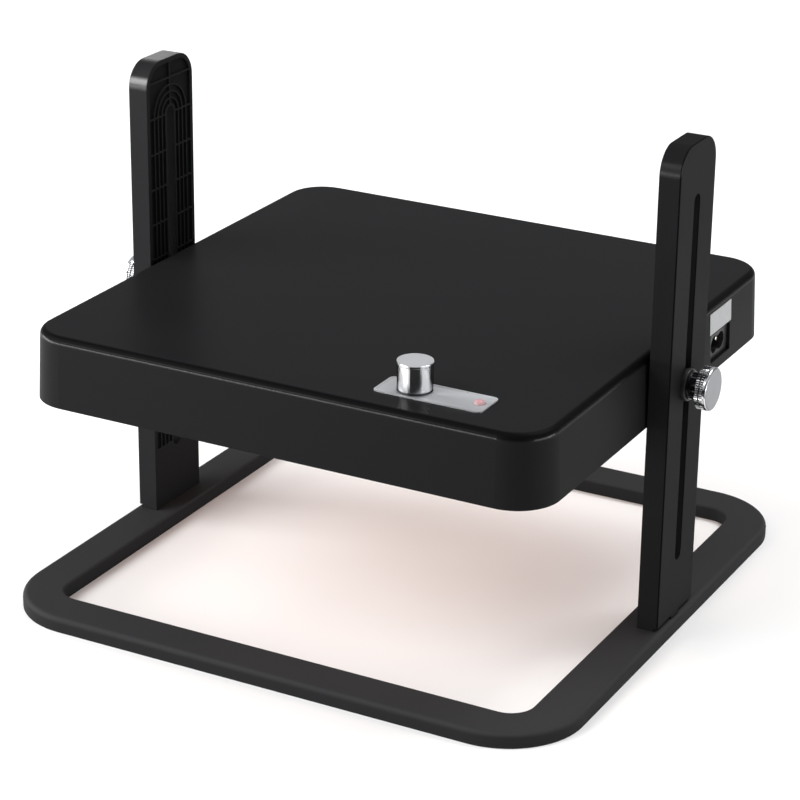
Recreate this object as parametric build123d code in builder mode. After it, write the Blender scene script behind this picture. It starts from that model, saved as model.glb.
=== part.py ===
from build123d import *
import os
from math import cos, pi, radians, sin, tan

os.makedirs("parts", exist_ok=True)

# Brooder heater: a square heating plate held between two slotted posts on an open ring.
# Origin on the ground under the ring's middle, +X to the inlet side, -Y to the knob side, +Z up.
# All sizes are in millimetres, angles in degrees.

# Heating plate
plate_side = 250.0  # lower outline, edge to edge
plate_height = 32.4
plate_draft = 2.6  # lean of the four side walls
plate_corner = 20.0  # upright corners, at the lower edge
plate_edge = 3.5  # rounding of the top edge
cover_wall = 2.5
panel_thick = 2.8
panel_inset = 0.6  # panel's underside above the cover's lower edge
panel_gap = 0.15
panel_boss = 3.6  # radius of the cover's screw columns
panel_boss_inset = 10.5  # column axis from the plate's lower edge
spreader_thick = 1.0
spreader_inset = 19.0  # from the plate's lower edge
film_thick = 0.4
film_inset = 4.0  # from the spreader's edge
insulation_thick = 8.0
insulation_inset = 6.0  # from the film's edge
sheet_corner = 8.0  # corners of the spreader, film and insulation

# Clamp axis
screw_height = 118.0  # above the ground at rest, through the middle of the plate
screw_radius = 2.5
thread_gap = 0.05  # radial play of a thread in its hole
clear_gap = 0.2  # radial play of a small screw in a clear hole
shank_gap = 0.3  # radial play of a clamp screw in its washers
tip_chamfer = 0.4
pad_radius = 10.0  # round pad on the cover's side that bears on the post
pad_gap = 0.2
insert_radius = 3.7
insert_length = 12.0
insert_wall = 3.3  # plastic round the insert
insert_floor = 1.5
tip_gap = 1.4  # screw tip short of the insert's inner end

# Clamp screws and their washers
guide_radius = 7.2
guide_flange = 1.8
guide_edge = 0.6
guide_lug = 2.6  # height of a lug along the slot
guide_lug_start = 3.6  # lug's near end from the axis
guide_lug_depth = 2.2
guide_lug_gap = 0.15
washer_radius = 6.4
washer_thick = 0.8
collar_radius = 5.8
collar_length = 4.4
head_radius = 9.6
head_length = 5.4
head_rim = 1.8  # smooth rim in front of the knurled bands
head_round = 0.9
head_groove = 0.5  # plain groove between the two knurled bands
knurl_depth = 0.5
knurl_teeth = 56

# Posts
post_gap = 0.8  # from the plate's lower edge to the post's inner face
post_depth = 9.8
post_width = 38.5
post_corner = 12.0
post_edge = 0.6  # rounding round the outer face
post_head = 26.3  # from the slot's upper end centre to the top
post_rim = 2.2
post_rib = 0.8
rib_relief = 1.0  # ribs above the pocket floors
rib_pitch = 16.8
arch_pitch = 3.2
arch_count = 3
slot_width = 6.4
slot_wall = 1.1
slot_top = 200.5  # slot's end centres above the ground
slot_foot = 38.0
tongue_width = 8.0
tongue_depth = 5.0
tongue_gap = 0.15
crevice = 1.6  # relief under the foot's outer edge, on both sides of the tongue

# Base ring
base_ledge_out = 1.9  # outside the posts
base_ledge_in = 8.8  # inside the posts
base_height = 6.8
base_corner = 36.0
base_inner_corner = 11.0
base_wall = 2.2
base_edge = 2.5
base_inner_edge = 1.2
base_rib = 1.4
base_rib_pitch = 24.0
base_rib_lift = 1.0
seat_margin = 3.0  # solid seat past both ends of the post

# Post screws, driven from below
post_screw_radius = 1.7
post_screw_head = 3.1
post_screw_head_height = 2.2
post_screw_sink = 0.6
post_screw_inset = 7.25  # from the post's two edges
post_screw_bite = 10.0

# Panel screws, countersunk from below, and board screws
panel_screw_radius = 1.5
panel_screw_head = 3.2
panel_screw_bite = 10.0
board_screw_radius = 1.45
board_screw_head = 2.7
board_screw_head_height = 1.8
board_screw_bite = 5.0
board_boss = 3.0
cross_length = 3.6  # cross recess in the panel and post screws' heads
cross_width = 0.9
cross_depth = 1.1

# Controls on the top face
knob_right = 69.0  # knob axis from the plate's right edge
knob_front = 24.6  # knob axis from the plate's front edge
knob_radius = 7.55
knob_cap_radius = 7.9
knob_cap = 0.9
knob_taper = 0.45
knob_edge = 0.25
knob_height = 12.75
knob_gap = 0.35
knob_skirt = 1.0  # wall of the hollow under the knob
knob_crown = 2.7  # metal over the shaft's end
control_length = 50.0
control_width = 17.8
control_corner = 2.5
control_thick = 0.4
control_rim = 0.9
control_rim_height = 0.15
control_shift = 9.6  # plate's middle to the right of the knob
lamp_inset = 5.0  # indicator from the control plate's right end
lens_radius = 2.5
lens_flange = 0.9
lens_flange_thick = 0.9
lens_dome = 1.5
trim_gap = 0.1

# Potentiometer and board
pot_side = 16.5
pot_height = 7.5
pot_floor = 1.3
bush_radius = 3.45
bush_stand = 0.5  # bush above its nut
nut_flat = 10.0
nut_height = 2.0
shaft_radius = 3.0
shaft_gap = 0.05
board_thick = 1.6
board_left = 17.5  # board's edges from the knob axis
board_right = 38.5
board_front = 14.0
board_back = 18.0
board_boss_inset = 4.5
block_length = 10.0
block_width = 9.0
block_height = 7.0
block_shift = 18.5  # terminal block from the knob axis
block_back = 12.4
triac_length = 10.0
triac_width = 8.0
triac_height = 4.4
triac_front = 3.6
capacitor_width = 5.0
capacitor_height = 6.8
capacitor_back = 3.4
led_radius = 2.5
led_flange = 0.4
led_flange_thick = 1.0
led_height = 6.0

# Power inlet in the right wall
inlet_y = 66.1
inlet_stand = 0.4  # front plate's lower edge above the bottom panel
inlet_width = 23.0  # cut-out in the wall
inlet_height = 13.0
inlet_corner = 1.2
inlet_lip = 0.9  # front plate past the cut-out, behind the wall
inlet_plate = 2.0
inlet_recess = 1.5  # nose's face behind the wall's outside
inlet_depth = 14.5  # front plate's face to the back
inlet_shell = 2.0  # plastic round the socket
inlet_gap = 0.1
inlet_play = 0.15  # round the nose in the cut-out
socket_lobe = 4.1  # radius of the socket's two round ends
socket_length = 15.2
socket_waist = 6.6
socket_depth = 13.0  # behind the nose's face
pin_radius = 1.2
pin_pitch = 8.7
pin_tip = 2.0  # pin ends behind the nose's face
pin_tail = 2.2
sticker_length = 25.0
sticker_margin = 0.6  # to the cut-out below and the rounded edge above
sticker_thick = 0.15

# Leads, fuse and film terminals
lead_radius = 1.0
lead_bend = 2.4
lead_pitch = 4.4
supply_gutter = 2.0  # supply leads past the insulation's edge
supply_step = 2.6
supply_lift = 3.4  # supply leads above the insulation
heater_gutter = 4.5  # heater leads left of the board
heater_step = 4.0
fuse_radius = 2.0
fuse_length = 10.0
fuse_lift = 0.3
fuse_wire = 0.5
fuse_reach = 5.0
terminal_length = 7.0
terminal_width = 5.0
terminal_thick = 0.3

# Places worked out from the sizes above
lean = tan(radians(plate_draft))
plate_half = plate_side / 2
plate_bottom = screw_height - plate_height / 2
plate_top = plate_bottom + plate_height
cover_under = plate_top - cover_wall
panel_bottom = plate_bottom + panel_inset
panel_top = panel_bottom + panel_thick
spreader_top = panel_top + spreader_thick
film_top = spreader_top + film_thick
insulation_top = film_top + insulation_thick
spreader_side = plate_side - 2 * spreader_inset
film_side = spreader_side - 2 * film_inset
insulation_side = film_side - 2 * insulation_inset
column_spacing = plate_side - 2 * panel_boss_inset

post_inner = plate_half + post_gap
post_outer = post_inner + post_depth
post_middle = post_inner + post_depth / 2
post_top = slot_top + post_head
foot_top = slot_foot  # the plain foot ends level with the slot's lower end
post_screw_spacing = post_width - 2 * post_screw_inset
slot_length = slot_top - slot_foot
slot_middle = (slot_top + slot_foot) / 2

base_half = post_outer + base_ledge_out
base_side = 2 * base_half
base_opening = 2 * (post_inner - base_ledge_in)
base_bar = (base_side - base_opening) / 2
bar_middle = base_half - base_bar / 2
base_rib_count = int((base_opening - 2 * base_inner_corner) / base_rib_pitch) + 1

pad_face = post_inner - pad_gap
insert_end = pad_face - insert_length
guide_face = post_outer + guide_flange
washer_face = guide_face + washer_thick
head_back = washer_face + collar_length
head_face = head_back + head_length

knob_x = plate_half - knob_right
knob_y = -plate_half + knob_front
control_top = plate_top + control_thick
nut_top = control_top + nut_height
bush_top = nut_top + bush_stand
knob_bottom = control_top + knob_gap
knob_top = knob_bottom + knob_height
shaft_top = knob_top - knob_crown
control_x = knob_x + control_shift
lamp_x = control_x + control_length / 2 - lamp_inset
board_top = cover_under - pot_height
board_bottom = board_top - board_thick
board_x0 = knob_x - board_left
board_x1 = knob_x + board_right
board_y0 = knob_y - board_front
board_y1 = knob_y + board_back
boss_spots = [(board_x0 + board_boss_inset, board_y0 + board_boss_inset)]
boss_spots.append((board_x1 - board_boss_inset, board_y0 + board_boss_inset))
block_x = knob_x + block_shift
block_y = knob_y + block_back
lead_height = board_top + block_height / 2

inlet_z = panel_top + inlet_stand + inlet_lip + inlet_height / 2
pin_ends = [inlet_y - pin_pitch / 2, inlet_y + pin_pitch / 2]
strip_y = -(film_side + insulation_side) / 4
fuse_axis = film_top + fuse_lift + fuse_radius

column_spots = [(x, y) for x in (-1, 1) for y in (-1, 1)] + [(0, -1), (0, 1)]
column_spots = [(x * column_spacing / 2, y * column_spacing / 2) for x, y in column_spots]


def wall_at(z):
    # Half-width of the plate's outside at a height
    return plate_half - (z - plate_bottom) * lean


wall_middle = wall_at(screw_height) - cover_wall / 2
inlet_face = wall_at(inlet_z + inlet_height / 2 + inlet_lip) - cover_wall - inlet_gap
inlet_back = inlet_face - inlet_depth
nose_face = wall_at(inlet_z) - inlet_recess
pin_back = inlet_back - pin_tail

# Planes on the two sides, with their normals pointing outwards along the clamp axis
side_planes = [Plane(origin=(0, 0, screw_height), x_dir=(0, s, 0), z_dir=(s, 0, 0)) for s in (-1, 1)]
right_plane = side_planes[1]
clamp_axis = Axis((0, 0, screw_height), (1, 0, 0))
profile_plane = Plane(origin=(0, 0, screw_height), x_dir=(1, 0, 0), z_dir=(0, -1, 0))


# Base ring: a channel moulding, open below, with cross ribs and a solid seat under each post
with BuildPart() as base_frame:
    with BuildSketch():
        RectangleRounded(base_side, base_side, base_corner)
        RectangleRounded(base_opening, base_opening, base_inner_corner, mode=Mode.SUBTRACT)
    extrude(amount=base_height)
    fillet(base_frame.faces().sort_by(Axis.Z)[-1].outer_wire().edges(), base_edge)
    fillet(base_frame.faces().sort_by(Axis.Z)[-1].inner_wires()[0].edges(), base_inner_edge)
    with BuildSketch():
        channel_outside = base_side - 2 * base_wall
        channel_inside = base_opening + 2 * base_wall
        RectangleRounded(channel_outside, channel_outside, base_corner - base_wall)
        RectangleRounded(channel_inside, channel_inside, base_inner_corner + base_wall, mode=Mode.SUBTRACT)
    extrude(amount=base_height - base_wall, mode=Mode.SUBTRACT)
    with BuildSketch(Plane.XY.offset(base_rib_lift)):
        with GridLocations(base_rib_pitch, 2 * bar_middle, base_rib_count, 2):
            Rectangle(base_rib, base_bar - base_wall)
        with GridLocations(2 * bar_middle, base_rib_pitch, 2, base_rib_count):
            Rectangle(base_bar - base_wall, base_rib)
    extrude(amount=base_height - base_wall / 2 - base_rib_lift)
    with BuildSketch():
        with GridLocations(2 * bar_middle, 0, 2, 1):
            Rectangle(base_bar - base_wall, post_width + 2 * seat_margin)
    extrude(amount=base_height - base_wall / 2)
    with BuildSketch():
        with GridLocations(2 * post_middle, 0, 2, 1):
            Rectangle(post_depth + 2 * tongue_gap, tongue_width + 2 * tongue_gap)
        with GridLocations(2 * post_middle, post_screw_spacing, 2, 2):
            Circle(post_screw_radius + clear_gap)
    extrude(amount=base_height, mode=Mode.SUBTRACT)
    with BuildSketch():
        with GridLocations(2 * post_middle, post_screw_spacing, 2, 2):
            Circle(post_screw_head + clear_gap)
    extrude(amount=post_screw_sink + post_screw_head_height, mode=Mode.SUBTRACT)

# Right post: smooth outside, shallow pockets inside above a plain foot, with a rim round the slot,
# arched ribs over it and level ribs
rib_steps = range(1, -int(post_top / rib_pitch), -1)
rib_heights = [slot_top + step * rib_pitch for step in rib_steps]
rib_heights = [z for z in rib_heights if foot_top + post_rib < z < post_top - post_rim]
arch_radii = [slot_width / 2 + slot_wall / 2 + step * arch_pitch for step in range(arch_count, 0, -1)]
with BuildPart() as right_post:
    with BuildSketch(Plane.YZ.offset(post_inner)) as outline:
        with Locations((0, (base_height + post_top) / 2)):
            Rectangle(post_width, post_top - base_height)
        fillet(outline.vertices().group_by(Axis.Y)[-1], post_corner)
    extrude(amount=post_depth)
    face_edges = right_post.faces().sort_by(Axis.X)[-1].edges().sort_by(Axis.Z)
    fillet(face_edges[1:], post_edge)
    with BuildSketch(Plane.YZ.offset(post_inner)) as pockets:
        with Locations((0, (foot_top + post_top - post_rim) / 2)):
            Rectangle(post_width - 2 * post_rim, post_top - post_rim - foot_top)
        fillet(pockets.vertices().group_by(Axis.Y)[-1], post_corner - post_rim)
        with Locations((0, slot_middle)):
            for radius in arch_radii:
                SlotCenterToCenter(slot_length, 2 * radius + post_rib, rotation=90, mode=Mode.SUBTRACT)
                SlotCenterToCenter(slot_length, 2 * radius - post_rib, rotation=90)
            SlotCenterToCenter(slot_length, slot_width + 2 * slot_wall, rotation=90, mode=Mode.SUBTRACT)
        with Locations((0, foot_top)):
            Rectangle(post_width, foot_top, align=(Align.CENTER, Align.MAX), mode=Mode.SUBTRACT)
        with Locations(*[(0, z) for z in rib_heights]):
            Rectangle(post_width, post_rib, mode=Mode.SUBTRACT)
        with Locations((0, (slot_top + post_top) / 2)):
            Rectangle(post_rib, post_top - slot_top, mode=Mode.SUBTRACT)
    extrude(amount=rib_relief, mode=Mode.SUBTRACT)
    with BuildSketch(Plane.YZ.offset(post_inner)):
        with Locations((0, slot_middle)):
            SlotCenterToCenter(slot_length, slot_width, rotation=90)
    extrude(amount=post_depth, mode=Mode.SUBTRACT)
    with BuildSketch(Plane.XY.offset(base_height)):
        with Locations((post_middle, 0)):
            Rectangle(post_depth, tongue_width)
    extrude(amount=-tongue_depth)
    with BuildSketch(Plane.XY.offset(base_height)):
        with Locations((post_outer, 0)):
            with GridLocations(0, (post_width + tongue_width) / 2, 1, 2):
                Rectangle(2 * crevice, (post_width - tongue_width) / 2)
    extrude(amount=crevice, mode=Mode.SUBTRACT)
    with BuildSketch(Plane.XY.offset(base_height)):
        with Locations((post_middle, 0)):
            with GridLocations(0, post_screw_spacing, 1, 2):
                Circle(post_screw_radius + thread_gap)
    extrude(amount=post_screw_bite + tip_gap, mode=Mode.SUBTRACT)

with BuildPart() as left_post:
    mirror(right_post.part, about=Plane.YZ)

# Post screws: pan heads in the base's counterbores, two under each post
with BuildPart() as post_screws:
    with BuildSketch(Plane.XY.offset(post_screw_sink)):
        with GridLocations(2 * post_middle, post_screw_spacing, 2, 2):
            Circle(post_screw_head)
    extrude(amount=post_screw_head_height)
    with BuildSketch(Plane.XY.offset(post_screw_sink)):
        with GridLocations(2 * post_middle, post_screw_spacing, 2, 2):
            Circle(post_screw_radius)
    extrude(amount=base_height - post_screw_sink + post_screw_bite)
    with BuildSketch(Plane.XY.offset(post_screw_sink)):
        with GridLocations(2 * post_middle, post_screw_spacing, 2, 2):
            Rectangle(cross_length, cross_width)
            Rectangle(cross_width, cross_length)
    extrude(amount=cross_depth, mode=Mode.SUBTRACT)

# Top cover: a drafted shell with bearing pads, insert bosses, screw columns and openings
with BuildPart() as top_cover:
    with BuildSketch(Plane.XY.offset(plate_bottom)):
        RectangleRounded(plate_side, plate_side, plate_corner)
    extrude(amount=plate_height, taper=plate_draft)
    fillet(top_cover.faces().sort_by(Axis.Z)[-1].edges(), plate_edge)
    with BuildSketch(Plane.XY.offset(plate_bottom)):
        cavity_side = plate_side - 2 * cover_wall
        RectangleRounded(cavity_side, cavity_side, plate_corner - cover_wall)
    extrude(amount=plate_height - cover_wall, taper=plate_draft, mode=Mode.SUBTRACT)
    for side_plane in side_planes:
        with BuildSketch(side_plane.offset(wall_middle)):
            Circle(pad_radius)
        extrude(amount=pad_face - wall_middle)
        with BuildSketch(side_plane.offset(wall_middle)):
            Circle(insert_radius + insert_wall)
        extrude(amount=insert_end - insert_floor - wall_middle)
        with BuildSketch(side_plane.offset(pad_face)):
            Circle(insert_radius + thread_gap)
        extrude(amount=-insert_length, mode=Mode.SUBTRACT)
    with BuildSketch(Plane.XY.offset(panel_top)):
        with Locations(*column_spots):
            Circle(panel_boss)
    extrude(amount=plate_top - cover_wall / 2 - panel_top)
    with BuildSketch(Plane.XY.offset(panel_top)):
        with Locations(*column_spots):
            Circle(panel_screw_radius + thread_gap)
    extrude(amount=panel_screw_bite + tip_gap, mode=Mode.SUBTRACT)
    with BuildSketch(Plane.XY.offset(board_top)):
        with Locations(*boss_spots):
            Circle(board_boss)
    extrude(amount=plate_top - cover_wall / 2 - board_top)
    with BuildSketch(Plane.XY.offset(board_top)):
        with Locations(*boss_spots):
            Circle(board_screw_radius + thread_gap)
    extrude(amount=board_screw_bite + trim_gap, mode=Mode.SUBTRACT)
    with BuildSketch(Plane.XY.offset(cover_under)):
        with Locations((knob_x, knob_y)):
            Circle(bush_radius + trim_gap)
        with Locations((lamp_x, knob_y)):
            Circle(lens_radius + trim_gap)
    extrude(amount=cover_wall, mode=Mode.SUBTRACT)
    with BuildSketch(Plane.YZ.offset(inlet_face - inlet_plate)):
        with Locations((inlet_y, inlet_z)):
            RectangleRounded(inlet_width, inlet_height, inlet_corner)
    extrude(amount=plate_half - inlet_face + inlet_plate, mode=Mode.SUBTRACT)

# Bottom panel: closes the shell from below and carries the heating layers
with BuildPart() as bottom_panel:
    with BuildSketch(Plane.XY.offset(panel_bottom)):
        panel_side = 2 * (wall_at(panel_bottom) - cover_wall - panel_gap)
        RectangleRounded(panel_side, panel_side, plate_corner - cover_wall - panel_gap)
    extrude(amount=panel_thick, taper=plate_draft)
    with Locations(*[(x, y, panel_bottom) for x, y in column_spots]):
        with Locations(Rotation(180, 0, 0)):
            CounterSinkHole(
                panel_screw_radius + clear_gap, panel_screw_head + clear_gap, counter_sink_angle=90
            )

# Panel screws: flat countersunk heads, flush with the panel's underside
with BuildPart() as panel_screws:
    with BuildSketch(Plane.XZ):
        with BuildLine():
            Polyline(
                (0, panel_bottom),
                (panel_screw_head, panel_bottom),
                (panel_screw_radius, panel_bottom + panel_screw_head - panel_screw_radius),
                (panel_screw_radius, panel_top + panel_screw_bite),
                (0, panel_top + panel_screw_bite),
                close=True,
            )
        make_face()
    panel_screw = revolve(axis=Axis.Z, mode=Mode.PRIVATE)
    with Locations(*column_spots):
        add(panel_screw)
    with BuildSketch(Plane.XY.offset(panel_bottom)):
        with Locations(*column_spots):
            Rectangle(cross_length, cross_width)
            Rectangle(cross_width, cross_length)
    extrude(amount=cross_depth, mode=Mode.SUBTRACT)

# Heating layers on the panel: spreader sheet, film with two terminals, insulation
with BuildPart() as heat_spreader:
    with BuildSketch(Plane.XY.offset(panel_top)):
        RectangleRounded(spreader_side, spreader_side, sheet_corner)
    extrude(amount=spreader_thick)

with BuildPart() as heating_film:
    with BuildSketch(Plane.XY.offset(spreader_top)):
        RectangleRounded(film_side, film_side, sheet_corner)
    extrude(amount=film_thick)

terminal_far = board_x0 + fuse_length + fuse_reach
terminal_near = board_x0 - heater_gutter - heater_step
with BuildPart() as film_terminals:
    with BuildSketch(Plane.XY.offset(film_top)):
        with Locations((terminal_near, strip_y), (terminal_far, strip_y)):
            Rectangle(terminal_length, terminal_width)
    extrude(amount=terminal_thick)

with BuildPart() as insulation_pad:
    with BuildSketch(Plane.XY.offset(film_top)):
        RectangleRounded(insulation_side, insulation_side, sheet_corner)
    extrude(amount=insulation_thick)

# Threaded inserts in the two side bosses
with BuildPart() as right_insert:
    with BuildSketch(right_plane.offset(insert_end)):
        Circle(insert_radius)
        Circle(screw_radius + thread_gap, mode=Mode.SUBTRACT)
    extrude(amount=insert_length)

with BuildPart() as left_insert:
    mirror(right_insert.part, about=Plane.YZ)

# Guide washers: flat flange outside the post, two lugs that run in the slot
with BuildPart() as right_guide_washer:
    with BuildSketch(right_plane.offset(post_outer)):
        Circle(guide_radius)
    extrude(amount=guide_flange)
    fillet(right_guide_washer.edges().filter_by(GeomType.CIRCLE).sort_by(Axis.X)[-1], guide_edge)
    with BuildSketch(right_plane.offset(post_outer)):
        with GridLocations(0, 2 * guide_lug_start + guide_lug, 1, 2):
            Rectangle(slot_width - 2 * guide_lug_gap, guide_lug)
    extrude(amount=-guide_lug_depth)
    with BuildSketch(right_plane.offset(post_outer)):
        Circle(screw_radius + shank_gap)
    extrude(amount=guide_flange, mode=Mode.SUBTRACT)

with BuildPart() as left_guide_washer:
    mirror(right_guide_washer.part, about=Plane.YZ)

# Steel washers that stay under the screws' collars
with BuildPart() as right_screw_washer:
    with BuildSketch(right_plane.offset(guide_face)):
        Circle(washer_radius)
        Circle(screw_radius + shank_gap, mode=Mode.SUBTRACT)
    extrude(amount=washer_thick)

with BuildPart() as left_screw_washer:
    mirror(right_screw_washer.part, about=Plane.YZ)

# Clamp screws: turned shank, collar and head, with two knurled bands round the head
band_length = (head_length - head_rim - head_groove) / 2
rim_back = head_face - head_rim
core_radius = head_radius - knurl_depth
tooth_angle = 2 * pi / knurl_teeth
knurl_points = []
for tooth in range(knurl_teeth):
    crest = tooth * tooth_angle
    knurl_points.append((head_radius * cos(crest), head_radius * sin(crest)))
    root = crest + tooth_angle / 2
    knurl_points.append((core_radius * cos(root), core_radius * sin(root)))
with BuildPart() as right_thumbscrew:
    with BuildSketch(profile_plane):
        with BuildLine():
            Polyline(
                (insert_end + tip_gap, 0),
                (insert_end + tip_gap, screw_radius - tip_chamfer),
                (insert_end + tip_gap + tip_chamfer, screw_radius),
                (washer_face, screw_radius),
                (washer_face, collar_radius),
                (head_back, collar_radius),
                (head_back, core_radius - knurl_depth),
                (rim_back, core_radius - knurl_depth),
                (rim_back, head_radius),
                (head_face, head_radius),
                (head_face, 0),
                close=True,
            )
        make_face()
    revolve(axis=clamp_axis)
    fillet(right_thumbscrew.edges().filter_by(GeomType.CIRCLE).sort_by(Axis.X)[-1], head_round)
    with BuildSketch(right_plane.offset(head_back), right_plane.offset(rim_back - band_length)):
        with BuildLine():
            Polyline(*knurl_points, close=True)
        make_face()
    extrude(amount=band_length)

with BuildPart() as left_thumbscrew:
    mirror(right_thumbscrew.part, about=Plane.YZ)

# Control plate: thin silver plate with a raised border, under the knob
with BuildPart() as control_plate:
    with BuildSketch(Plane.XY.offset(plate_top)):
        with Locations((control_x, knob_y)):
            RectangleRounded(control_length, control_width, control_corner)
    extrude(amount=control_thick)
    with BuildSketch(Plane.XY.offset(control_top)):
        with Locations((control_x, knob_y)):
            RectangleRounded(control_length, control_width, control_corner)
            rim_length = control_length - 2 * control_rim
            rim_width = control_width - 2 * control_rim
            RectangleRounded(rim_length, rim_width, control_corner - control_rim, mode=Mode.SUBTRACT)
    extrude(amount=control_rim_height)
    with BuildSketch(Plane.XY.offset(plate_top)):
        with Locations((knob_x, knob_y)):
            Circle(bush_radius + trim_gap)
        with Locations((lamp_x, knob_y)):
            Circle(lens_radius + trim_gap)
    extrude(amount=control_thick, mode=Mode.SUBTRACT)

# Potentiometer: square body under the cover, bush through it, bored for the shaft
with BuildPart() as potentiometer:
    with BuildSketch(Plane.XY.offset(board_top)):
        with Locations((knob_x, knob_y)):
            Rectangle(pot_side, pot_side)
    extrude(amount=pot_height)
    with BuildSketch(Plane.XY.offset(cover_under)):
        with Locations((knob_x, knob_y)):
            Circle(bush_radius)
    extrude(amount=bush_top - cover_under)
    with BuildSketch(Plane.XY.offset(board_top + pot_floor)):
        with Locations((knob_x, knob_y)):
            Circle(shaft_radius + shaft_gap)
    extrude(amount=bush_top - board_top - pot_floor, mode=Mode.SUBTRACT)

with BuildPart() as pot_nut:
    with BuildSketch(Plane.XY.offset(control_top)):
        with Locations((knob_x, knob_y)):
            RegularPolygon(nut_flat / 2, 6, major_radius=False)
            Circle(bush_radius + thread_gap, mode=Mode.SUBTRACT)
    extrude(amount=nut_height)

with BuildPart() as pot_shaft:
    with BuildSketch(Plane.XY.offset(board_top + pot_floor + trim_gap)):
        with Locations((knob_x, knob_y)):
            Circle(shaft_radius)
    extrude(amount=shaft_top - board_top - pot_floor - trim_gap)

# Control knob: a turned cap, hollow below for the nut, bored for the shaft
hollow_top = bush_top + knob_gap
knob_plane = Plane(origin=(knob_x, knob_y, 0), x_dir=(1, 0, 0), z_dir=(0, -1, 0))
with BuildPart() as control_knob:
    with BuildSketch(knob_plane):
        with BuildLine():
            Polyline(
                (shaft_radius + shaft_gap, hollow_top),
                (knob_radius - knob_skirt, hollow_top),
                (knob_radius - knob_skirt, knob_bottom),
                (knob_radius, knob_bottom),
                (knob_radius, knob_top - knob_cap - knob_taper),
                (knob_cap_radius, knob_top - knob_cap),
                (knob_cap_radius, knob_top),
                (0, knob_top),
                (0, shaft_top + trim_gap),
                (shaft_radius + shaft_gap, shaft_top + trim_gap),
                close=True,
            )
        make_face()
    revolve(axis=Axis((knob_x, knob_y, 0), (0, 0, 1)))
    rim_edge = control_knob.edges().filter_by(GeomType.CIRCLE).group_by(Axis.Z)[-1]
    chamfer(rim_edge, knob_edge)

# Control board with the parts that stand on it
with BuildPart() as control_board:
    with BuildSketch(Plane.XY.offset(board_bottom)):
        with Locations(((board_x0 + board_x1) / 2, (board_y0 + board_y1) / 2)):
            Rectangle(board_x1 - board_x0, board_y1 - board_y0)
        with Locations(*boss_spots):
            Circle(board_screw_radius + clear_gap, mode=Mode.SUBTRACT)
    extrude(amount=board_thick)

with BuildPart() as board_screws:
    with BuildSketch(Plane.XY.offset(board_bottom)):
        with Locations(*boss_spots):
            Circle(board_screw_head)
    extrude(amount=-board_screw_head_height)
    with BuildSketch(Plane.XY.offset(board_bottom)):
        with Locations(*boss_spots):
            Circle(board_screw_radius)
    extrude(amount=board_thick + board_screw_bite)

with BuildPart() as terminal_block:
    with BuildSketch(Plane.XY.offset(board_top)):
        with Locations((block_x, block_y)):
            Rectangle(block_length, block_width)
    extrude(amount=block_height)

with BuildPart() as dimmer_triac:
    with BuildSketch(Plane.XY.offset(board_top)):
        with Locations((block_x, knob_y - triac_front)):
            Rectangle(triac_length, triac_width)
    extrude(amount=triac_height)

with BuildPart() as filter_capacitor:
    with BuildSketch(Plane.XY.offset(board_top)):
        with Locations((block_x, knob_y + capacitor_back)):
            Rectangle(block_length, capacitor_width)
    extrude(amount=capacitor_height)

# Indicator: an LED on the board under a lens that shows through the control plate
led_plane = Plane(origin=(lamp_x, knob_y, board_top), x_dir=(1, 0, 0), z_dir=(0, -1, 0))
lamp_axis = Axis((lamp_x, knob_y, 0), (0, 0, 1))
with BuildPart() as indicator_led:
    with BuildSketch(led_plane):
        with BuildLine():
            Polyline(
                (0, led_height),
                (0, 0),
                (led_radius + led_flange, 0),
                (led_radius + led_flange, led_flange_thick),
                (led_radius, led_flange_thick),
                (led_radius, led_height - led_radius),
            )
            RadiusArc((led_radius, led_height - led_radius), (0, led_height), -led_radius)
        make_face()
    revolve(axis=lamp_axis)

lens_plane = Plane(origin=(lamp_x, knob_y, 0), x_dir=(1, 0, 0), z_dir=(0, -1, 0))
lens_rise = control_top + control_rim_height
with BuildPart() as indicator_lens:
    with BuildSketch(lens_plane):
        with BuildLine():
            Polyline(
                (0, lens_rise + lens_dome),
                (0, cover_under - lens_flange_thick),
                (lens_radius + lens_flange, cover_under - lens_flange_thick),
                (lens_radius + lens_flange, cover_under),
                (lens_radius, cover_under),
                (lens_radius, lens_rise),
            )
            dome_radius = (lens_radius**2 + lens_dome**2) / (2 * lens_dome)
            RadiusArc((lens_radius, lens_rise), (0, lens_rise + lens_dome), -dome_radius)
        make_face()
    revolve(axis=lamp_axis)

# Power inlet: a front plate behind the wall, a nose in the cut-out, a two-lobed socket and two pins
with BuildPart() as power_inlet:
    with BuildSketch(Plane.YZ.offset(inlet_face)):
        with Locations((inlet_y, inlet_z)):
            RectangleRounded(inlet_width + 2 * inlet_lip, inlet_height + 2 * inlet_lip, inlet_corner)
    extrude(amount=-inlet_plate)
    with BuildSketch(Plane.YZ.offset(inlet_face)):
        with Locations((inlet_y, inlet_z)):
            nose_width = inlet_width - 2 * inlet_play
            nose_height = inlet_height - 2 * inlet_play
            RectangleRounded(nose_width, nose_height, inlet_corner - inlet_play)
    extrude(amount=nose_face - inlet_face)
    with BuildSketch(Plane.YZ.offset(inlet_back)):
        with Locations((inlet_y, inlet_z)):
            shell_width = socket_length + 2 * inlet_shell
            RectangleRounded(shell_width, 2 * (socket_lobe + inlet_shell), socket_lobe)
    extrude(amount=inlet_depth)
    with BuildSketch(Plane.YZ.offset(nose_face)):
        with Locations((inlet_y, inlet_z)):
            Rectangle(socket_length - 2 * socket_lobe, socket_waist)
            with GridLocations(socket_length - 2 * socket_lobe, 0, 2, 1):
                Circle(socket_lobe)
    extrude(amount=-socket_depth, mode=Mode.SUBTRACT)
    with BuildSketch(Plane.YZ.offset(inlet_back)):
        with Locations(*[(y, inlet_z) for y in pin_ends]):
            Circle(pin_radius + thread_gap)
    extrude(amount=inlet_depth, mode=Mode.SUBTRACT)

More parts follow.
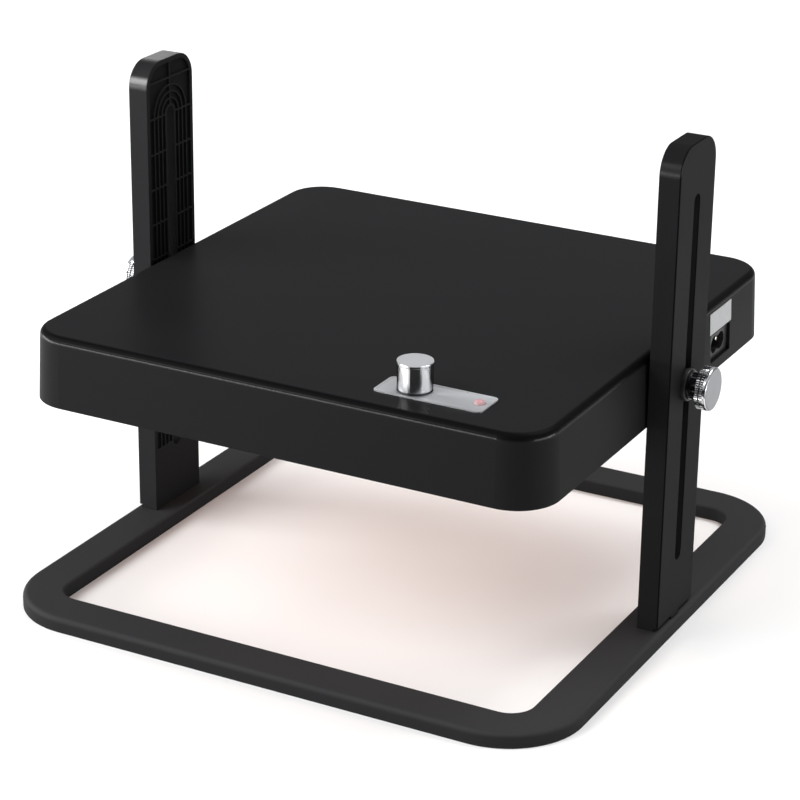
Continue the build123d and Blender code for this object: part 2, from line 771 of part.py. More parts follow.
with BuildPart() as inlet_pins:
    with BuildSketch(Plane.YZ.offset(pin_back)):
        with Locations(*[(y, inlet_z) for y in pin_ends]):
            Circle(pin_radius)
    extrude(amount=nose_face - pin_tip - pin_back)
    fillet(inlet_pins.faces().group_by(Axis.X)[-1].edges(), pin_radius / 2)

# Bare sticker on the drafted wall above the inlet
sticker_low = inlet_z + inlet_height / 2 + sticker_margin
sticker_high = plate_top - plate_edge - sticker_margin
sticker_z = (sticker_low + sticker_high) / 2
wall_normal = (cos(radians(plate_draft)), 0, sin(radians(plate_draft)))
sticker_plane = Plane(origin=(wall_at(sticker_z), inlet_y, sticker_z), x_dir=(0, 1, 0), z_dir=wall_normal)
with BuildPart() as inlet_sticker:
    with BuildSketch(sticker_plane):
        Rectangle(sticker_length, sticker_high - sticker_low)
    extrude(amount=sticker_thick)

# Supply leads: from the inlet's pins, past the insulation, up to the terminal block's right side
insulation_edge = insulation_side / 2
supply_height = insulation_top + supply_lift
with BuildPart() as supply_leads:
    for place, start_y in enumerate(pin_ends):
        gutter = insulation_edge + supply_gutter + (1 - place) * supply_step
        block_entry = block_y + (0.5 - place) * lead_pitch
        with BuildLine() as route:
            FilletPolyline(
                (pin_back, start_y, inlet_z),
                (gutter, start_y, inlet_z),
                (gutter, start_y, supply_height),
                (gutter, block_entry, supply_height),
                (gutter, block_entry, lead_height),
                (block_x + block_length / 2, block_entry, lead_height),
                radius=lead_bend,
            )
        with BuildSketch(Plane(origin=route.line @ 0, z_dir=route.line % 0)):
            Circle(lead_radius)
        sweep(path=route.line)

# Heater leads: from the terminal block's left side down to the fuse and the near terminal
heater_ends = [(block_y - lead_pitch / 2, fuse_axis), (block_y + lead_pitch / 2, film_top + terminal_thick)]
with BuildPart() as heater_leads:
    for place, (entry_y, end_z) in enumerate(heater_ends):
        drop_x = board_x0 - heater_gutter - place * heater_step
        points = [(block_x - block_length / 2, entry_y, lead_height)]
        points.append((drop_x, entry_y, lead_height))
        points.append((drop_x, strip_y, lead_height))
        points.append((drop_x, strip_y, end_z))
        if place == 0:
            points.append((board_x0, strip_y, end_z))
        with BuildLine() as route:
            FilletPolyline(*points, radius=lead_bend)
        with BuildSketch(Plane(origin=route.line @ 0, z_dir=route.line % 0)):
            Circle(lead_radius)
        sweep(path=route.line)

# Thermal fuse: in line with one heater lead, lying on the film, its wire soldered to a terminal
with BuildPart() as thermal_fuse:
    with BuildSketch(Plane.YZ.offset(board_x0)):
        with Locations((strip_y, fuse_axis)):
            Circle(fuse_radius)
    extrude(amount=fuse_length)
    with BuildLine() as fuse_route:
        FilletPolyline(
            (board_x0 + fuse_length - fuse_wire, strip_y, fuse_axis),
            (terminal_far, strip_y, fuse_axis),
            (terminal_far, strip_y, film_top + terminal_thick),
            radius=fuse_wire * 2,
        )
    with BuildSketch(Plane(origin=fuse_route.line @ 0, z_dir=fuse_route.line % 0)):
        Circle(fuse_wire)
    sweep(path=fuse_route.line)

pieces = {
    "base_frame": base_frame,
    "left_post": left_post,
    "right_post": right_post,
    "post_screws": post_screws,
    "left_guide_washer": left_guide_washer,
    "right_guide_washer": right_guide_washer,
    "left_screw_washer": left_screw_washer,
    "right_screw_washer": right_screw_washer,
    "left_thumbscrew": left_thumbscrew,
    "right_thumbscrew": right_thumbscrew,
    "top_cover": top_cover,
    "bottom_panel": bottom_panel,
    "panel_screws": panel_screws,
    "heat_spreader": heat_spreader,
    "heating_film": heating_film,
    "film_terminals": film_terminals,
    "insulation_pad": insulation_pad,
    "left_insert": left_insert,
    "right_insert": right_insert,
    "control_plate": control_plate,
    "potentiometer": potentiometer,
    "pot_nut": pot_nut,
    "pot_shaft": pot_shaft,
    "control_knob": control_knob,
    "control_board": control_board,
    "board_screws": board_screws,
    "terminal_block": terminal_block,
    "dimmer_triac": dimmer_triac,
    "filter_capacitor": filter_capacitor,
    "indicator_led": indicator_led,
    "indicator_lens": indicator_lens,
    "power_inlet": power_inlet,
    "inlet_pins": inlet_pins,
    "inlet_sticker": inlet_sticker,
    "supply_leads": supply_leads,
    "heater_leads": heater_leads,
    "thermal_fuse": thermal_fuse,
}
for label, piece in pieces.items():
    piece.part.label = label
    export_step(piece.part, f"parts/{label}.step")
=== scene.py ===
import bpy
from mathutils import Matrix, Vector


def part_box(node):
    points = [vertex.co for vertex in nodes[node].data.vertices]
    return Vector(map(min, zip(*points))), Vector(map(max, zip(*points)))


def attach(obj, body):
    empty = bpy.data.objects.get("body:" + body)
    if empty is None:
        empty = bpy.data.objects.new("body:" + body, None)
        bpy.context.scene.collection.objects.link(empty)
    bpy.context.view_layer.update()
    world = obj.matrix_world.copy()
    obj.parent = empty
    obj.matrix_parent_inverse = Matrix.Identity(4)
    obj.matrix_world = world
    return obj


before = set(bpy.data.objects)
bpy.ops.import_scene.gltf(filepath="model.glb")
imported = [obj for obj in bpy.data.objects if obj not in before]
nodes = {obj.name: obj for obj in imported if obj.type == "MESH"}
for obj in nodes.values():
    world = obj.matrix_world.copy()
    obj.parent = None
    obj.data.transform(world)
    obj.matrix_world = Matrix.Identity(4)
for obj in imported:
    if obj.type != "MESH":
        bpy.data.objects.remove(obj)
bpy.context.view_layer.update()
mm = 0.001  # the looks give small lengths in millimetres, the scene is in metres
print("frame loaded with", len(nodes), "nodes")


def linear(code):  # sRGB hex to Blender's linear colour
    channels = []
    for at in (1, 3, 5):
        v = int(code[at:at + 2], 16) / 255
        channels.append(v / 12.92 if v <= 0.04045 else ((v + 0.055) / 1.055) ** 2.4)
    return (*channels, 1.0)


def put(tree, kind, settings=None, links=None):  # one shader node with its settings and links
    made = tree.nodes.new("ShaderNode" + kind)
    for key, value in (settings or {}).items():
        if key in ("From", "To"):  # both ends of a range
            made.inputs[key + " Min"].default_value = value[0]
            made.inputs[key + " Max"].default_value = value[1]
        elif isinstance(key, int) or key in made.inputs:
            made.inputs[key].default_value = value
        else:
            setattr(made, key, value)
    for key, source in (links or {}).items():
        tree.links.new(source, made.inputs[key])
    return made


def surface(name, settings):  # a material with its shader wired up, and the piece's own coordinates
    made = bpy.data.materials.new(name)
    made.use_nodes = True
    tree = made.node_tree
    tree.nodes.clear()
    shader = put(tree, "BsdfPrincipled", settings)
    put(tree, "OutputMaterial", links={"Surface": shader.outputs[0]})
    place = put(tree, "TexCoord").outputs["Object"]
    return made, tree, shader, place


def between(tree, value, rise, fall, most=1.0):  # a mask that rises and then falls as the value grows
    up = put(tree, "MapRange", {"From": rise, "To": (0.0, most)}, {"Value": value}).outputs[0]
    down = put(tree, "MapRange", {"From": fall}, {"Value": value}).outputs[0]
    return put(tree, "Math", {"operation": "MULTIPLY"}, {0: up, 1: down}).outputs[0]


def toneAndGloss(tree, shader, pattern, look):  # one pattern drives the colour and the roughness
    # a Mix node has its two colours at 6 and 7 and gives the mixed one at 2
    tone = put(tree, "Mix", {"data_type": "RGBA", 6: linear(look["deep"]), 7: linear(look["pale"])},
               {0: pattern}).outputs[2]
    tree.links.new(tone, shader.inputs["Base Color"])
    gloss = put(tree, "MapRange", {"To": look["rough"]}, {"Value": pattern}).outputs[0]
    tree.links.new(gloss, shader.inputs["Roughness"])


def dress(material, *names):  # the material goes on these CAD nodes
    for name in names:
        mesh = nodes[name].data
        mesh.materials.clear()
        mesh.materials.append(material)


# ABS out of a spark-eroded mould: near black with a fine satin grain, a smoother skin that shines where the
# mould was polished round its edges, a tone that drifts where the melt flowed, and corners rubbed greyer.
# The real grain is about 0.1 mm across and is drawn at 0.4 mm and more so that it shows
# Besides these finishes, the sides, a post's pocket floors and the roundings are painted darker tones:
# painted shade, and painted dark reflections on the roundings
absLook = {
    "cover": {"deep": "#161617", "pale": "#1b1b1c", "worn": "#4a4a4b", "wall": "#171718", "bandShade": "#080809",
              "sheen": 0.022, "rough": 0.45, "fine": 0.34, "skin": 0.19, "skinRough": 0.15,
              "grain": 0.45, "depth": 0.010, "drift": 60, "edge": 0.5, "wear": 0.35, "on": ["top_cover"]},
    "post": {"deep": "#161617", "pale": "#1b1b1c", "worn": "#4a4a4b",
             # painted shade on the pocket floors, and a painted dark reflection on the outer rounding
             "hollow": "#0f0f10", "roundingShade": "#060607",
             "sheen": 0.015, "rough": 0.50, "skin": 0.25, "skinRough": 0.25, "relief": 1.0, "round": 1.2,
             "grain": 0.40, "depth": 0.010, "drift": 35, "edge": 0.4, "wear": 0.15,
             "on": ["left_post", "right_post"]},
    "base": {"deep": "#2e2e2f", "pale": "#343435", "worn": "#565657", "wall": "#222223",
             "sheen": 0.02, "rough": 0.50, "skin": 0.02, "skinRough": 0.40,
             "grain": 0.40, "depth": 0.012, "drift": 45, "edge": 0.5, "wear": 0.45, "on": ["base_frame"]},
    "panel": {"deep": "#222223", "pale": "#272728", "worn": "#4c4c4d",
              "sheen": 0.05, "rough": 0.55, "skin": 0.10, "skinRough": 0.45,
              "grain": 0.60, "depth": 0.030, "drift": 50, "edge": 0.4, "wear": 0.30,
              "on": ["bottom_panel"]},
}
mouldLook = {"ior": 1.53, "bump": 0.6, "rub": 7.0, "rubSpan": (0.35, 0.65), "driftSpan": (0.3, 0.7),
             "smoother": 0.03, "duller": 0.04, "pocketSlack": 0.2}  # the same for all of them
# Where each finish and each painted shade begins and where it is full, by how squarely a face looks up: 0
# on a wall, 1 on a top
slopeLook = {
    "wall": (0.75, 0.25), "top": (0.95, 0.99),
    "bandShadeRise": (0.08, 0.30), "bandShadeFall": (0.99, 0.95),
    "skinRise": (0.06, 0.16), "skinFall": (0.55, 0.40),
    "roundingShadeRise": (0.15, 0.35), "roundingShadeFall": (0.97, 0.90), "pocket": 0.9,  # to a post's side instead of up
    "corner": (0.985, 0.80),  # how far a softened corner still looks the way its face does
}


def mouldedAbs(name, look):
    made, tree, shader, place = surface(name, {
        "IOR": mouldLook["ior"], "Specular IOR Level": look["sheen"],
        "Coat IOR": mouldLook["ior"], "Coat Roughness": look["skinRough"]})
    drift = put(tree, "TexNoise", {"Scale": 1 / (look["drift"] * mm), "Detail": 4.0},
                {"Vector": place}).outputs["Fac"]
    grain = put(tree, "TexNoise", {"Scale": 1 / (look["grain"] * mm), "Detail": 2.0},
                {"Vector": place}).outputs["Fac"]
    rubs = put(tree, "TexNoise", {"Scale": 1 / (mouldLook["rub"] * mm), "Detail": 3.0},
               {"Vector": place}).outputs["Fac"]
    facing = put(tree, "SeparateXYZ", links={0: put(tree, "TexCoord").outputs["Normal"]}).outputs
    shadeAndWear = []  # masks over the drifting tone with their colours, each over the one before: painted shades and rubbed corners

    if "hollow" in look:  # a post's floors between its ribs are painted darker: painted shade in the pockets
        low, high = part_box("right_post")
        away = put(tree, "SeparateXYZ", links={0: place}).outputs["X"]
        away = put(tree, "Math", {"operation": "ABSOLUTE"}, {0: away}).outputs[0]
        sideways = put(tree, "Math", {"operation": "ABSOLUTE"}, {0: facing["X"]}).outputs[0]
        square = put(tree, "Math", {"operation": "GREATER_THAN", 1: slopeLook["pocket"]},
                     {0: sideways}).outputs[0]
        floors = put(tree, "Math", {"operation": "COMPARE", 1: low[0] + look["relief"] * mm,
                                    2: mouldLook["pocketSlack"] * mm}, {0: away}).outputs[0]
        hollow = put(tree, "Math", {"operation": "MULTIPLY"}, {0: square, 1: floors}).outputs[0]
        shadeAndWear.append((hollow, look["hollow"]))

        # the rounding of its outer face is painted blacker than the grained faces: a painted dark
        # reflection
        outer = put(tree, "Math", {"operation": "GREATER_THAN", 1: (low[0] + high[0]) / 2},
                    {0: away}).outputs[0]
        turned = put(tree, "Bevel", {"samples": 8, "Radius": look["round"] * mm}).outputs[0]
        turned = put(tree, "SeparateXYZ", links={0: turned}).outputs["X"]
        turned = put(tree, "Math", {"operation": "ABSOLUTE"}, {0: turned}).outputs[0]
        bend = between(tree, turned, slopeLook["roundingShadeRise"], slopeLook["roundingShadeFall"])
        roundingShade = put(tree, "Math", {"operation": "MULTIPLY"}, {0: bend, 1: outer}).outputs[0]
        shadeAndWear.append((roundingShade, look["roundingShade"]))

    if "wall" in look:  # the sides are painted a darker tone than the top: painted shade by which way a face looks
        upright = put(tree, "MapRange", {"From": slopeLook["wall"]}, {"Value": facing["Z"]}).outputs[0]
        shadeAndWear.append((upright, look["wall"]))
    if "bandShade" in look:  # the rounding between top and sides is painted blacker than both: a painted dark reflection
        bandShade = between(tree, facing["Z"], slopeLook["bandShadeRise"], slopeLook["bandShadeFall"])
        shadeAndWear.append((bandShade, look["bandShade"]))

    rounded = put(tree, "Bevel", {"samples": 4, "Radius": look["edge"] * mm}).outputs[0]
    flat = put(tree, "NewGeometry").outputs["Normal"]
    same = put(tree, "VectorMath", {"operation": "DOT_PRODUCT"}, {0: rounded, 1: flat}).outputs["Value"]
    corner = put(tree, "MapRange", {"From": slopeLook["corner"], "To": (0.0, look["wear"])},
                 {"Value": same}).outputs[0]
    broken = put(tree, "MapRange", {"From": mouldLook["rubSpan"]}, {"Value": rubs}).outputs[0]
    rubbed = put(tree, "Math", {"operation": "MULTIPLY"}, {0: corner, 1: broken}).outputs[0]
    shadeAndWear.append((rubbed, look["worn"]))

    tone = put(tree, "Mix", {"data_type": "RGBA", 6: linear(look["deep"]), 7: linear(look["pale"])},
               {0: drift}).outputs[2]
    for mask, code in shadeAndWear:
        tone = put(tree, "Mix", {"data_type": "RGBA", 7: linear(code)}, {0: mask, 6: tone}).outputs[2]
    tree.links.new(tone, shader.inputs["Base Color"])

    smooth = look["rough"] - mouldLook["smoother"]
    dull = look["rough"] + mouldLook["duller"]
    gloss = put(tree, "MapRange", {"From": mouldLook["driftSpan"], "To": (smooth, dull)},
                {"Value": drift}).outputs[0]
    if "fine" in look:  # the mould is ground finer for the top, which mirrors what stands on it a little
        finer = put(tree, "MapRange", {"From": slopeLook["top"], "To": (0.0, look["fine"] - look["rough"])},
                    {"Value": facing["Z"]}).outputs[0]
        gloss = put(tree, "Math", {"operation": "ADD"}, {0: gloss, 1: finer}).outputs[0]
    tree.links.new(gloss, shader.inputs["Roughness"])

    bump = put(tree, "Bump", {"Strength": mouldLook["bump"], "Distance": look["depth"] * mm},
               {"Height": grain, "Normal": rounded}).outputs[0]
    tree.links.new(bump, shader.inputs["Normal"])
    tree.links.new(bump, shader.inputs["Coat Normal"])
    skin = between(tree, facing["Z"], slopeLook["skinRise"], slopeLook["skinFall"], look["skin"])
    tree.links.new(skin, shader.inputs["Coat Weight"])
    dress(made, *look["on"])


for piece, look in absLook.items():
    mouldedAbs("moulded_ABS_" + piece, look)
print("black mouldings dressed")


def mottled(name, look, settings):  # tone and gloss that change together in patches of a size in mm
    made, tree, shader, place = surface(name, settings)
    patches = put(tree, "TexNoise", {"Scale": 1 / (look["patch"] * mm), "Detail": look["detail"]},
                  {"Vector": place}).outputs["Fac"]
    toneAndGloss(tree, shader, patches, look)
    if "edge" in look:  # no corner is quite sharp
        rounded = put(tree, "Bevel", {"samples": 4, "Radius": look["edge"] * mm}).outputs[0]
        tree.links.new(rounded, shader.inputs["Normal"])
    if "relief" in look:  # the patches stand up a little
        bump = put(tree, "Bump", {"Strength": look["bump"], "Distance": look["relief"] * mm},
                   {"Height": patches}).outputs[0]
        tree.links.new(bump, shader.inputs["Normal"])
    dress(made, *look["on"])


# Unfilled nylon, moulded: a duller black than the posts with a waxy bloom
nylonLook = {"deep": "#19191a", "pale": "#222223", "rough": (0.38, 0.58), "patch": 3.0, "detail": 4.0,
             "edge": 0.2, "on": ["left_guide_washer", "right_guide_washer"]}
mottled("moulded_nylon_black", nylonLook, {"IOR": 1.53, "Specular IOR Level": 0.35})

# PBT of the inlet, polished mould: black with sharp small glints
pbtLook = {"deep": "#1a1a1b", "pale": "#212122", "rough": (0.28, 0.44), "patch": 5.0, "detail": 3.0,
           "edge": 0.2, "on": ["power_inlet"]}
mottled("moulded_PBT_black", pbtLook, {"IOR": 1.54, "Specular IOR Level": 0.15})
print("nylon and inlet dressed")


# Bright chrome on a turned blank: a mirror whose reflections are drawn out along the axis by the lathe's
# rings, a flat end that is only satin and painted darker, and a faint dulling that comes and goes. A
# screw's neck and the roots of its knurl, near the axis, are painted dark: painted shade in the hollows
chromeLook = {
    "knob": {"axis": "Z", "side": "#dedfe1", "end": "#c6c7c9", "hollow": "#48484a", "rim": "#0a0a0a",
             "sideRough": 0.18, "endRough": 0.60, "drawn": 1.0, "dull": 6.0, "plated": (1.0, 2.0),
             "foot": 1.0, "on": ["control_knob"]},
    "screw": {"axis": "X", "side": "#dddee0", "end": "#818285", "hollow": "#58585a", "rim": "#ffffff",
              "sideRough": 0.16, "endRough": 0.33, "drawn": 0.2, "dull": 5.0, "plated": (9.15, 9.5),
              "on": ["left_thumbscrew", "right_thumbscrew"]},
}
bathLook = {"endSpan": (0.85, 0.97), "dullSpan": (0.3, 0.7), "dulling": (-0.03, 0.03), "edge": 0.06,
            "drawnTurn": 0.25}  # the same for both


def chromePlate(name, look):
    made, tree, shader, place = surface(name, {
        "Metallic": 1.0, "Specular Tint": linear(look["rim"]),
        "Anisotropic Rotation": bathLook["drawnTurn"]})
    rings = put(tree, "Tangent", {"direction_type": "RADIAL", "axis": look["axis"]}).outputs[0]
    tree.links.new(rings, shader.inputs["Tangent"])
    normal = put(tree, "TexCoord").outputs["Normal"]
    facing = put(tree, "SeparateXYZ", links={0: normal}).outputs[look["axis"]]
    facing = put(tree, "Math", {"operation": "ABSOLUTE"}, {0: facing}).outputs[0]
    flatEnd = put(tree, "MapRange", {"From": bathLook["endSpan"]}, {"Value": facing}).outputs[0]
    drawn = put(tree, "MapRange", {"To": (look["drawn"], 0.0)}, {"Value": flatEnd}).outputs[0]
    tree.links.new(drawn, shader.inputs["Anisotropic"])

    dull = put(tree, "TexNoise", {"Scale": 1 / (look["dull"] * mm), "Detail": 4.0},
               {"Vector": place}).outputs["Fac"]
    patchy = put(tree, "MapRange", {"From": bathLook["dullSpan"], "To": bathLook["dulling"]},
                 {"Value": dull}).outputs[0]
    gloss = put(tree, "MapRange", {"To": (look["sideRough"], look["endRough"])},
                {"Value": flatEnd}).outputs[0]
    gloss = put(tree, "Math", {"operation": "ADD"}, {0: gloss, 1: patchy}).outputs[0]
    tree.links.new(gloss, shader.inputs["Roughness"])

    low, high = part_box(look["on"][0])
    crossways = [0.0 if axis == look["axis"] else 1.0 for axis in "XYZ"]  # drops the axis itself
    centre = [(low[i] + high[i]) / 2 * crossways[i] for i in range(3)]
    flattened = put(tree, "VectorMath", {"operation": "MULTIPLY", 1: crossways}, {0: place}).outputs[0]
    radius = put(tree, "VectorMath", {"operation": "DISTANCE", 1: centre}, {0: flattened}).outputs["Value"]
    # painted shade: inside the plated radii, a screw's neck and the roots of its knurl take the dark tone
    plated = put(tree, "MapRange", {"From": [reach * mm for reach in look["plated"]]},
                 {"Value": radius}).outputs[0]
    tone = put(tree, "Mix", {"data_type": "RGBA", 6: linear(look["hollow"]), 7: linear(look["side"])},
               {0: plated}).outputs[2]
    if "foot" in look:  # painted shadow: a dark line round the knob's foot, where it stands over the control plate
        above = put(tree, "SeparateXYZ", links={0: place}).outputs["Z"]
        line = look["foot"] * mm
        shaded = put(tree, "MapRange", {"From": (low[2] + line, low[2] + line / 2)},
                     {"Value": above}).outputs[0]
        tone = put(tree, "Mix", {"data_type": "RGBA", 7: linear(look["hollow"])},
                   {0: shaded, 6: tone}).outputs[2]
    # the flat ends are painted darker than the sides: painted shade that dims what they mirror
    tone = put(tree, "Mix", {"data_type": "RGBA", 7: linear(look["end"])}, {0: flatEnd, 6: tone}).outputs[2]
    tree.links.new(tone, shader.inputs["Base Color"])
    rounded = put(tree, "Bevel", {"samples": 4, "Radius": bathLook["edge"] * mm}).outputs[0]
    tree.links.new(rounded, shader.inputs["Normal"])
    dress(made, *look["on"])


for piece, look in chromeLook.items():
    chromePlate("chrome_plated_" + piece, look)
print("chrome dressed")


# Plain metals: crystals mottle the colour and the gloss, drawn at the size in mm that shows
metalLook = {
    "zinc_plated_steel": {  # spangled bluish grey
        "deep": "#9c9fa3", "pale": "#b9bcc0", "rough": (0.24, 0.46), "patch": 0.8,
        "on": ["post_screws", "panel_screws", "board_screws", "pot_nut"]},
    "blackened_steel": {  # oiled, with a dark shine
        "deep": "#3a3b3d", "pale": "#4d4e50", "rough": (0.22, 0.44), "patch": 0.8,
        "on": ["left_screw_washer", "right_screw_washer"]},
    "turned_steel_shaft": {  # bright, with a fine flicker
        "deep": "#b4b5b6", "pale": "#cbccce", "rough": (0.12, 0.34), "patch": 0.3, "on": ["pot_shaft"]},
    "tinned_steel_case": {  # soft frosted tin
        "deep": "#a3a3a1", "pale": "#bdbdbb", "rough": (0.28, 0.50), "patch": 1.5,
        "on": ["potentiometer", "thermal_fuse"]},
    "nickel_plated_brass": {  # warm silver, nearly a mirror
        "deep": "#c2bdb2", "pale": "#d8d3c8", "rough": (0.10, 0.32), "patch": 0.6, "on": ["inlet_pins"]},
    "turned_brass": {  # yellow and shiny
        "deep": "#b48f45", "pale": "#cfab60", "rough": (0.16, 0.38), "patch": 0.5,
        "on": ["left_insert", "right_insert", "film_terminals"]},
    "rolled_aluminium_sheet": {  # pale grey, cloudy
        "deep": "#b9babc", "pale": "#cfd0d2", "rough": (0.26, 0.48), "patch": 4.0, "on": ["heat_spreader"]},
}
for name, look in metalLook.items():
    mottled(name, {**look, "detail": 4.0, "edge": 0.12}, {"Metallic": 1.0})
print("plain metals dressed")


# Anodised aluminium, brushed along its length: silver satin with fine straight lines. The real brush
# lines are about 0.05 mm apart and are drawn at 0.35 mm so that they show
plateLook = {"deep": "#a3a4a6", "pale": "#c7c8ca", "rough": (0.36, 0.56), "line": 0.35, "run": 40.0,
             "bump": 0.25, "relief": 0.01}
anodised, tree, shader, place = surface("brushed_anodised_aluminium", {
    "Metallic": 0.75, "Anisotropic": 0.4})
along = put(tree, "Mapping", {"Scale": (1 / (plateLook["run"] * mm), 1 / (plateLook["line"] * mm), 1.0)},
            {"Vector": place}).outputs[0]
brush = put(tree, "TexNoise", {"Scale": 1.0, "Detail": 3.0}, {"Vector": along}).outputs["Fac"]
toneAndGloss(tree, shader, brush, plateLook)
lines = put(tree, "Bump", {"Strength": plateLook["bump"], "Distance": plateLook["relief"] * mm},
            {"Height": brush}).outputs[0]
tree.links.new(lines, shader.inputs["Normal"])
dress(anodised, "control_plate")

# Metallised polyester sticker, blank: pale silver with a faint orange-peel from the glue
stickerLook = {"deep": "#838485", "pale": "#9b9c9d", "rough": (0.30, 0.46), "patch": 1.6, "detail": 2.0,
               "bump": 0.3, "relief": 0.03, "on": ["inlet_sticker"]}
mottled("metallised_polyester_sticker", stickerLook, {"Metallic": 0.55, "IOR": 1.5})

# Frosted red acrylic over a lit LED: a faint pinkish glow of its own light, with a middle painted brighter
# and redder: painted light from the LED
lensLook = {"rim": "#b39a9b", "litHeart": "#c98c92", "glow": "#ff9aa2", "strength": 0.05, "reach": 2.9}
acrylic, tree, shader, place = surface("moulded_acrylic_red", {
    "Roughness": 0.36, "IOR": 1.49, "Specular IOR Level": 0.25, "Transmission Weight": 0.25,
    "Emission Color": linear(lensLook["glow"]), "Emission Strength": lensLook["strength"]})
low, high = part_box("indicator_lens")
crown = ((low[0] + high[0]) / 2, (low[1] + high[1]) / 2, high[2])
off = put(tree, "VectorMath", {"operation": "DISTANCE", 1: crown}, {0: place}).outputs["Value"]
# painted light: towards the crown the lens takes the brighter, redder tone
litHeart = put(tree, "MapRange", {"From": (0.0, lensLook["reach"] * mm), "To": (1.0, 0.0)},
            {"Value": off}).outputs[0]
tone = put(tree, "Mix", {"data_type": "RGBA", 6: linear(lensLook["rim"]), 7: linear(lensLook["litHeart"])},
           {0: litHeart}).outputs[2]
tree.links.new(tone, shader.inputs["Base Color"])
dress(acrylic, "indicator_lens")
print("control plate, sticker and lens dressed")


# Pieces sealed inside the slab: each is mottled at a size in mm, and the mottle stands up a little
innerLook = {
    "polyimide_film_amber": {  # glossy and clear brown
        "deep": "#9a5a12", "pale": "#c47a1c", "rough": (0.17, 0.30), "patch": 6.0, "on": ["heating_film"]},
    "needled_felt": {  # quite matt, with tufts
        "deep": "#b7b1a6", "pale": "#d6d0c4", "rough": (0.87, 1.00), "patch": 0.9,
        "on": ["insulation_pad"]},
    "solder_mask_green": {  # dark with a wet shine
        "deep": "#174a2c", "pale": "#1f6338", "rough": (0.24, 0.37), "patch": 2.5, "on": ["control_board"]},
    "polyamide_green": {  # flat satin
        "deep": "#3d7d4d", "pale": "#4d9660", "rough": (0.37, 0.50), "patch": 3.0,
        "on": ["terminal_block"]},
    "epoxy_black": {  # dull, with a fine sand
        "deep": "#1a1a1b", "pale": "#232325", "rough": (0.47, 0.60), "patch": 0.4, "on": ["dimmer_triac"]},
    "dipped_film_yellow": {  # lacquer that ran a little
        "deep": "#b98a1f", "pale": "#d6a62e", "rough": (0.22, 0.35), "patch": 2.0,
        "on": ["filter_capacitor"]},
    "cast_epoxy_red": {  # smooth as glass
        "deep": "#8c1d20", "pale": "#b22b2e", "rough": (0.04, 0.17), "patch": 2.0, "on": ["indicator_led"]},
    "silicone_sleeve_grey": {  # rubbery and dusty
        "deep": "#8b8b8c", "pale": "#a3a3a4", "rough": (0.54, 0.67), "patch": 1.2,
        "on": ["supply_leads", "heater_leads"]},
}
innerHeight = 0.04  # how high the mottle stands, as a share of its size
for name, look in innerLook.items():
    relief = look["patch"] * innerHeight
    mottled(name, {**look, "detail": 5.0, "bump": 0.4, "relief": relief}, {"IOR": 1.5})
print("inner pieces dressed")


# Floor: a plain pale studio sheet of matt paper, with a faint cloudiness
floorLook = {"size": 40.0, "deep": "#eeeeed", "pale": "#f6f6f5", "mottle": 120.0}
bpy.ops.mesh.primitive_plane_add(size=floorLook["size"])
floor = bpy.context.object
floor.name = "studioFloor"
paper, tree, shader, place = surface("matt_paper_white", {"Roughness": 0.9, "Specular IOR Level": 0.1})
mottle = put(tree, "TexNoise", {"Scale": 1 / (floorLook["mottle"] * mm), "Detail": 2.0},
             {"Vector": place}).outputs["Fac"]
tone = put(tree, "Mix", {"data_type": "RGBA", 6: linear(floorLook["deep"]), 7: linear(floorLook["pale"])},
           {0: mottle}).outputs[2]
tree.links.new(tone, shader.inputs["Base Color"])
floor.data.materials.append(paper)

# Soft lights, aimed at the plate. The two small ones light one post alone, for the pale top it has
lightLook = {
    "leftFront": {"at": (-1.05, -0.90, 1.10), "size": (1.4, 0.8), "watts": 24.0},
    "topBack": {"at": (0.55, 1.00, 2.20), "size": (1.4, 1.2), "watts": 36.0},
    "leftCard": {"at": (-0.85, -0.62, 0.16), "size": (1.7, 0.16), "watts": 16.0},
    "rightCard": {"at": (1.10, 0.08, 0.16), "size": (1.2, 0.16), "watts": 7.5},
    "postTop": {"at": (-0.235, 0.155, 0.277), "size": (0.06, 0.05), "watts": 0.25, "only": "left_post"},
    "cornerCard": {"at": (-0.70, -0.86, 0.60), "size": (0.25, 0.48), "watts": 18.0, "only": "left_post"},
}
aim = Vector((0.0, 0.0, 0.11))
for name, look in lightLook.items():
    lamp = bpy.data.lights.new(name, "AREA")
    lamp.shape = "RECTANGLE"
    lamp.size, lamp.size_y = look["size"]
    lamp.energy = look["watts"]
    made = bpy.data.objects.new(name, lamp)
    made.location = look["at"]
    made.rotation_euler = (aim - Vector(look["at"])).to_track_quat("-Z", "Y").to_euler()
    made.visible_camera = False
    bpy.context.scene.collection.objects.link(made)
    if "only" in look:
        lit = bpy.data.collections.new(name + "Lit")
        lit.objects.link(nodes[look["only"]])
        made.light_linking.receiver_collection = lit

# Warm fill under the plate, which goes up and down with it
warmLook = {"drop": 6.0, "size": 0.21, "watts": 0.10, "colour": "#ffd8ca"}
lamp = bpy.data.lights.new("warmFill", "AREA")
lamp.size = warmLook["size"]
lamp.energy = warmLook["watts"]
lamp.color = linear(warmLook["colour"])[:3]
made = bpy.data.objects.new("warmFill", lamp)
made.location = (0.0, 0.0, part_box("bottom_panel")[0][2] - warmLook["drop"] * mm)
made.visible_camera = False
bpy.context.scene.collection.objects.link(made)
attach(made, "heater")

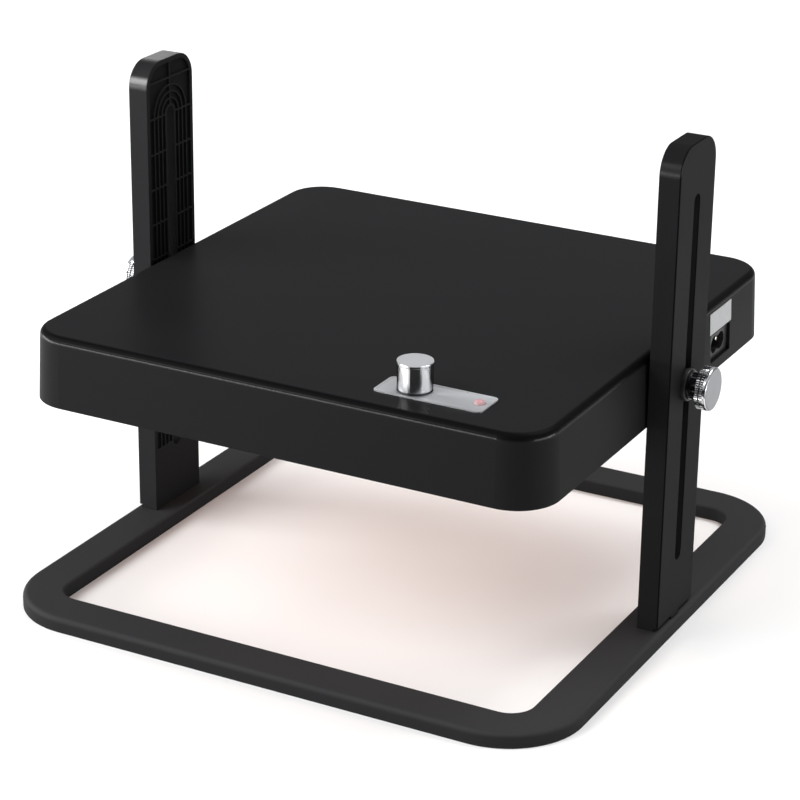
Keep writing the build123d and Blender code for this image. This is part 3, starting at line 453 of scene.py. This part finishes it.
# Black flag below the camera, seen by reflections alone: a card that stands on the floor with its foot
# folded towards the plate, which keeps a dark stripe down the front of the chrome
flagLook = {"at": (0.218, -0.41, 0.001), "across": (0.886, 0.463, 0.0), "width": 0.44, "height": 0.60,
            "foot": 0.22, "tone": "#262626"}
fold = Vector(flagLook["at"])
half = Vector(flagLook["across"]) * flagLook["width"] / 2
inward = Vector((-flagLook["across"][1], flagLook["across"][0], 0.0)) * flagLook["foot"]
upward = Vector((0.0, 0.0, flagLook["height"]))
corners = [fold + step + half * side for step in (inward, Vector(), upward) for side in (-1, 1)]
card = bpy.data.meshes.new("blackFlag")
card.from_pydata(corners, [], [(0, 1, 3, 2), (2, 3, 5, 4)])  # the foot, then the upright
felt = surface("flocked_black_card", {"Roughness": 1.0, "Specular IOR Level": 0.0,
                                      "Base Color": linear(flagLook["tone"])})[0]
card.materials.append(felt)
flag = bpy.data.objects.new("blackFlag", card)
flag.visible_camera = False
flag.visible_diffuse = False
flag.visible_shadow = False
bpy.context.scene.collection.objects.link(flag)

# Air: a dim wall all round that brightens to a white ceiling, by height from 0 level to 1 straight up
airLook = {"colour": "#fbfcff", "strength": (0.42, 0.60), "height": (0.35, 0.90)}
world = bpy.data.worlds.new("studioAir")
world.use_nodes = True
tree = world.node_tree
height = put(tree, "SeparateXYZ", links={0: put(tree, "TexCoord").outputs["Generated"]}).outputs["Z"]
fade = put(tree, "MapRange", {"From": airLook["height"], "To": airLook["strength"]},
           {"Value": height}).outputs[0]
air = tree.nodes["Background"]
air.inputs["Color"].default_value = linear(airLook["colour"])
tree.links.new(fade, air.inputs["Strength"])
bpy.context.scene.world = world
bpy.context.scene.view_settings.view_transform = "Standard"
print("floor and lights set")

# Camera: where the photograph was taken from, as its own axes
cameraLook = {"at": (0.53603, -1.01838, 0.55303), "right": (0.88114, 0.47272, 0.01156),
              "up": (-0.18819, 0.32814, 0.92569), "lens": 122.46, "sensor": 36.0}
right = Vector(cameraLook["right"]).normalized()
up = Vector(cameraLook["up"])
up = (up - right * up.dot(right)).normalized()
turn = Matrix((right, up, right.cross(up))).transposed().to_4x4()
lens = bpy.data.cameras.new("photoCamera")
lens.lens = cameraLook["lens"]
lens.sensor_width = cameraLook["sensor"]
camera = bpy.data.objects.new("photoCamera", lens)
camera.matrix_world = Matrix.Translation(cameraLook["at"]) @ turn
bpy.context.scene.collection.objects.link(camera)
bpy.context.scene.camera = camera
print("camera set")
